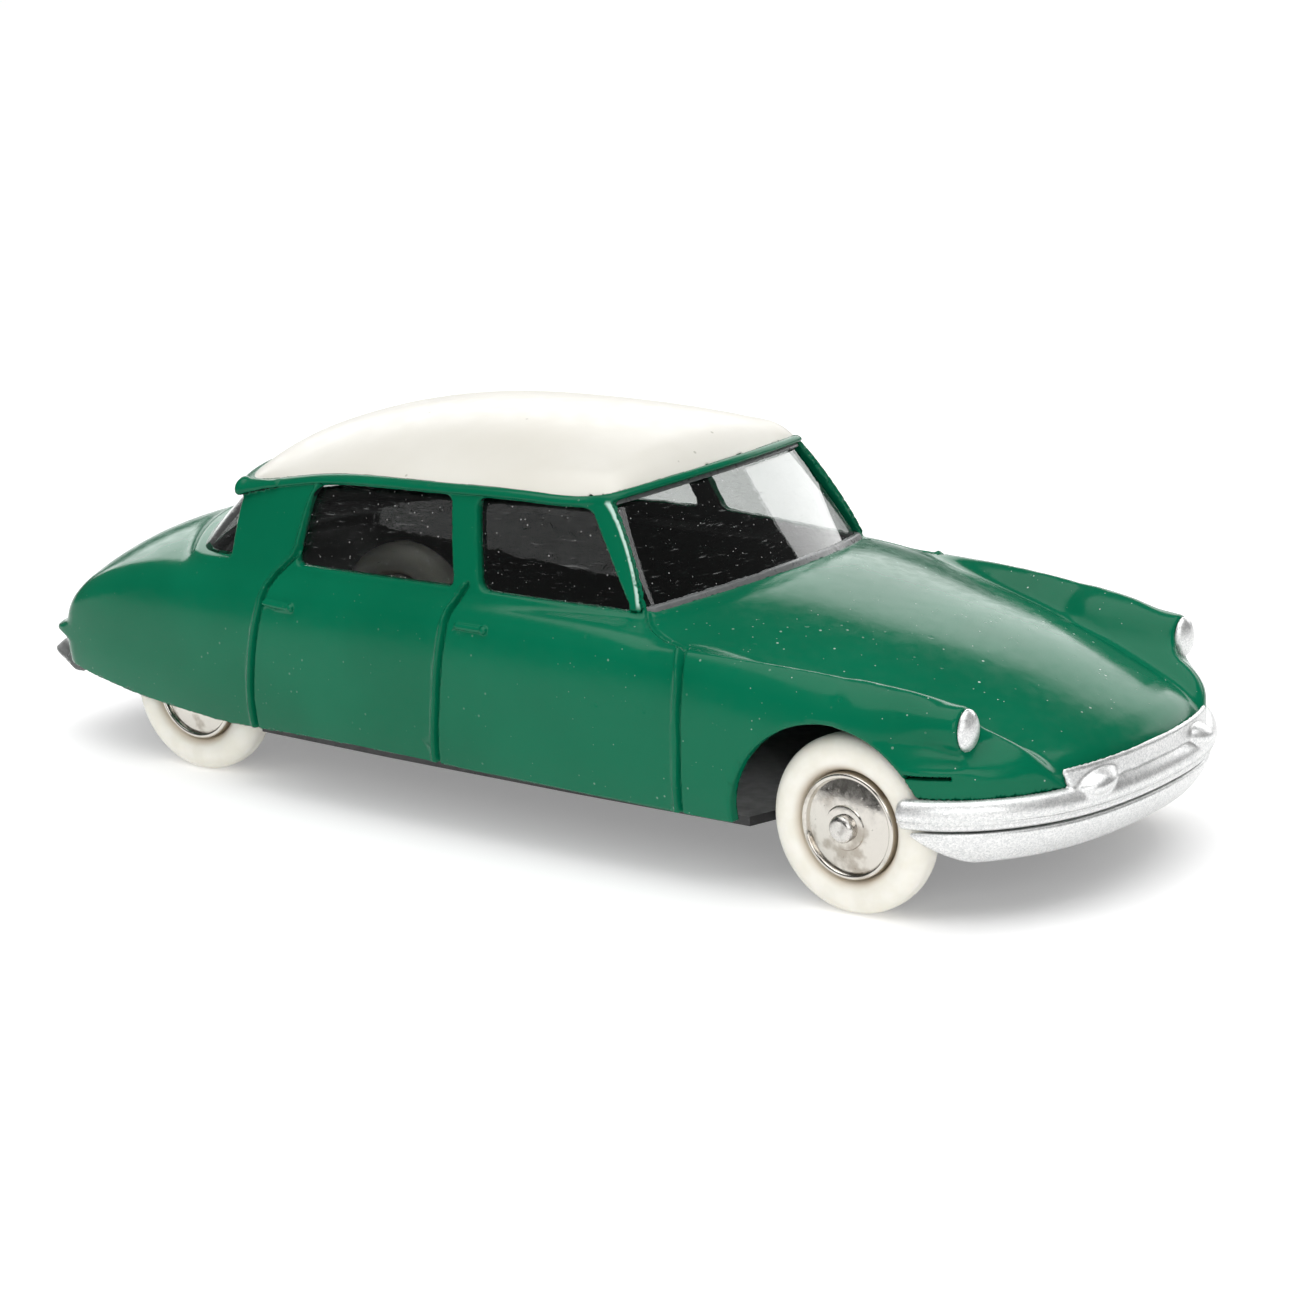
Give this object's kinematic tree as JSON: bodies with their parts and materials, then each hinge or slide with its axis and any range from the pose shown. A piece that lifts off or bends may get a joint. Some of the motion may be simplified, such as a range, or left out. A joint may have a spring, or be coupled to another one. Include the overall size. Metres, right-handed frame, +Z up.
{
  "type": "diecast toy car",
  "caption": "Small diecast collector saloon: hollow cast body, clear glazing, silver bumpers, riveted base and two free-rolling axles.",
  "frame": {"origin": "on the ground, under the middle of the car's bounding box", "axes": "+X to the nose, +Y to the car's left, +Z up"},
  "size_m": [0.1119, 0.0418, 0.034],
  "materials": {
    "green_paint": "gloss green enamel on diecast zinc",
    "ivory_paint": "satin ivory enamel on diecast zinc",
    "silver_paint": "hand-brushed silver enamel",
    "black_paint": "semi-gloss black enamel on pressed steel",
    "bare_metal": "peened zinc",
    "plated_metal": "nickel plating, slightly pitted",
    "white_tyre": "smooth cream-white rubber",
    "clear_plastic": "clear moulded plastic"
  },
  "bodies": {
    "car": {"body_casting": "green_paint", "roof_panel": "ivory_paint", "glazing": "clear_plastic", "front_bumper": "silver_paint", "front_valance": "silver_paint", "rear_bumper": "silver_paint", "headlamp_left": "silver_paint", "headlamp_right": "silver_paint", "baseplate": "black_paint", "base_rivets": "bare_metal"},
    "front_wheels": {"front_axle": "plated_metal", "hub_front_left": "plated_metal", "hub_front_right": "plated_metal", "tyre_front_left": "white_tyre", "tyre_front_right": "white_tyre"},
    "rear_wheels": {"rear_axle": "plated_metal", "hub_rear_left": "plated_metal", "hub_rear_right": "plated_metal", "tyre_rear_left": "white_tyre", "tyre_rear_right": "white_tyre"}
  },
  "joints": [
    {"name": "front_axle_spin", "type": "hinge", "parent": "car", "child": "front_wheels", "pos_m": [0.03835, 0, 0.00735], "axis": [0, 1, 0], "continuous": true},
    {"name": "rear_axle_spin", "type": "hinge", "parent": "car", "child": "rear_wheels", "pos_m": [-0.03455, 0, 0.00735], "axis": [0, 1, 0], "continuous": true}
  ]
}
